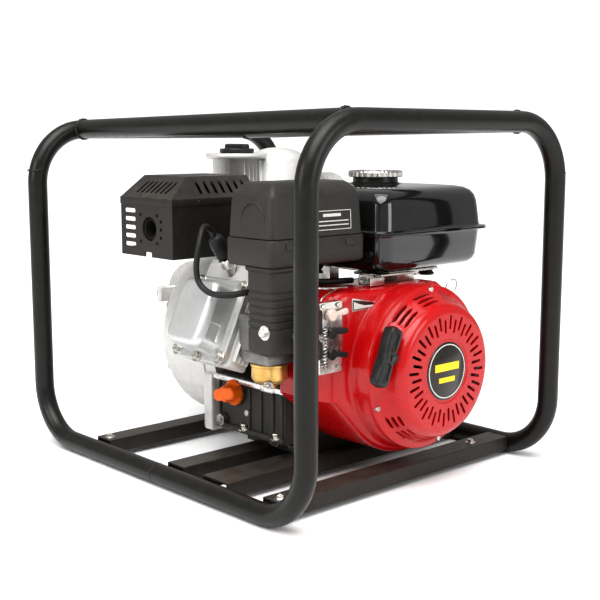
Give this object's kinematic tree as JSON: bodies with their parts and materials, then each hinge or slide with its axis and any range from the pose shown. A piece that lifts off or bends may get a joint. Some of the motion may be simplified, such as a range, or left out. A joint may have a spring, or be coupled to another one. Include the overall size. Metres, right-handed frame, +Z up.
{
  "type": "portable fire pump",
  "caption": "Petrol-engined portable fire pump in a tube frame, with a recoil starter, fuel tank, muffler and self-priming pump.",
  "frame": {"origin": "on the ground under the middle of the tube frame", "axes": "+X along the crankshaft from the pump to the recoil starter, +Y from the air cleaner to the fuel tank, +Z up"},
  "size_m": [0.547, 0.442, 0.44],
  "materials": {
    "beam_steel": "dull black paint, scuffed",
    "black_gloss": "gloss",
    "black_heat": "matt heat-resistant paint",
    "black_plastic": "fine grain",
    "brass": "satin",
    "cast_dark": "dark cast surface",
    "cast_silver": "silver-painted casting",
    "cream_plastic": "semi-gloss",
    "filter_foam": "open foam",
    "frame_black": "satin powder coat",
    "orange_plastic": "semi-gloss",
    "red_paint": "gloss",
    "rubber": "matt",
    "steel": "machined",
    "zinc": "zinc plated"
  },
  "bodies": {
    "frame": {"air_cleaner_case": "black_plastic", "air_cleaner_duct": "black_plastic", "base_beam_engine_front": "beam_steel", "base_beam_engine_rear": "beam_steel", "base_beam_pump_side": "beam_steel", "base_beam_recoil_side": "beam_steel", "bearing_flywheel_side": "steel", "bearing_pump_side": "steel", "carburettor": "cast_silver", "control_bracket": "zinc", "crankcase": "cast_dark", "crankcase_side_cover": "cast_dark", "cylinder_block": "cast_dark", "cylinder_head": "cast_silver", "delivery_outlet": "cast_silver", "engine_bed": "beam_steel", "fan_shroud": "red_paint", "filter_element": "filter_foam", "float_bowl": "brass", "frame_hoop_pump_side": "frame_black", "frame_hoop_recoil_side": "frame_black", "fuel_tank_lower": "black_gloss", "fuel_tank_upper": "black_gloss", "ignition_coil": "black_plastic", "mechanical_seal": "rubber", "muffler": "black_heat", "muffler_guard": "black_heat", "oil_drain_bolt": "zinc", "pump_adapter": "cast_silver", "pump_casing": "cast_silver", "recoil_housing": "red_paint", "spark_plug": "zinc", "spark_plug_boot": "rubber", "spark_plug_lead": "rubber", "suction_port": "cast_silver", "tank_stay": "zinc", "top_rail_left": "frame_black", "top_rail_right": "frame_black", "valve_cover": "cast_silver"},
    "rotor": {"crankshaft": "steel", "flywheel": "cast_silver", "impeller": "cast_silver"},
    "piston": {"piston": "cast_silver"},
    "starter_reel": {"recoil_reel": "black_plastic"},
    "starter_grip": {"recoil_grip": "black_plastic"},
    "tank_cap": {"fuel_cap": "zinc"},
    "priming_plug": {"priming_plug": "black_plastic"},
    "drain_plug": {"pump_drain_plug": "zinc"},
    "dipstick": {"oil_dipstick": "orange_plastic"},
    "choke": {"choke_lever": "cream_plastic"},
    "throttle": {"throttle_lever": "black_plastic"},
    "fuel_valve": {"fuel_valve_lever": "black_plastic"},
    "switch": {"stop_switch": "black_plastic"},
    "check_valve": {"check_valve_flap": "rubber"},
    "cleaner_lid": {"air_cleaner_cover": "black_plastic"}
  },
  "joints": [
    {"name": "crank_spin", "type": "hinge", "parent": "frame", "child": "rotor", "pos_m": [0, 0.027, 0.142], "axis": [1, 0, 0], "continuous": true},
    {"name": "piston_stroke", "type": "slide", "parent": "frame", "child": "piston", "axis": [0, -0.9063, 0.4226], "range_m": [0, 0.054]},
    {"name": "recoil_pull", "type": "slide", "parent": "frame", "child": "starter_grip", "axis": [0, -1, 0], "range_m": [0, 0.7], "stiffness_N_per_m": 10},
    {"name": "recoil_reel_spin", "type": "hinge", "parent": "frame", "child": "starter_reel", "pos_m": [0.197, 0.027, 0.142], "axis": [1, 0, 0], "range_deg": [0, 900]},
    {"name": "fuel_cap_turn", "type": "hinge", "parent": "frame", "child": "tank_cap", "pos_m": [0.073, 0.0865, 0.36], "axis": [0, 0, 1], "range_deg": [0, 90]},
    {"name": "priming_plug_turn", "type": "hinge", "parent": "frame", "child": "priming_plug", "pos_m": [-0.133, 0.027, 0.39], "axis": [0, 0, 1], "range_deg": [0, 90]},
    {"name": "drain_plug_turn", "type": "hinge", "parent": "frame", "child": "drain_plug", "pos_m": [-0.159, 0.027, 0.045], "axis": [1, 0, 0], "range_deg": [0, 90]},
    {"name": "dipstick_turn", "type": "hinge", "parent": "frame", "child": "dipstick", "pos_m": [0.008, -0.1, 0.095], "axis": [0, 1, 0], "range_deg": [0, 90]},
    {"name": "choke_turn", "type": "hinge", "parent": "frame", "child": "choke", "pos_m": [0.1903, -0.108, 0.216], "axis": [1, 0, 0], "range_deg": [0, 55]},
    {"name": "throttle_turn", "type": "hinge", "parent": "frame", "child": "throttle", "pos_m": [0.1903, -0.108, 0.196], "axis": [1, 0, 0], "range_deg": [-14, 9]},
    {"name": "fuel_valve_turn", "type": "hinge", "parent": "frame", "child": "fuel_valve", "pos_m": [0.1903, -0.108, 0.172], "axis": [1, 0, 0], "range_deg": [-60, 6]},
    {"name": "stop_switch_turn", "type": "hinge", "parent": "frame", "child": "switch", "pos_m": [0.146, -0.1003, 0.15], "axis": [0, 1, 0], "range_deg": [0, 60]},
    {"name": "check_valve_swing", "type": "hinge", "parent": "frame", "child": "check_valve", "pos_m": [-0.205, 0.027, 0.216], "axis": [0, 1, 0], "range_deg": [-50, 0]},
    {"name": "air_cleaner_lid_lift", "type": "slide", "parent": "frame", "child": "cleaner_lid", "axis": [0, 0, 1], "range_m": [0, 0.045]}
  ],
  "couplings": [
    {"joint": "recoil_reel_spin", "follows": "recoil_pull", "rad_per_m": 22.2}
  ]
}
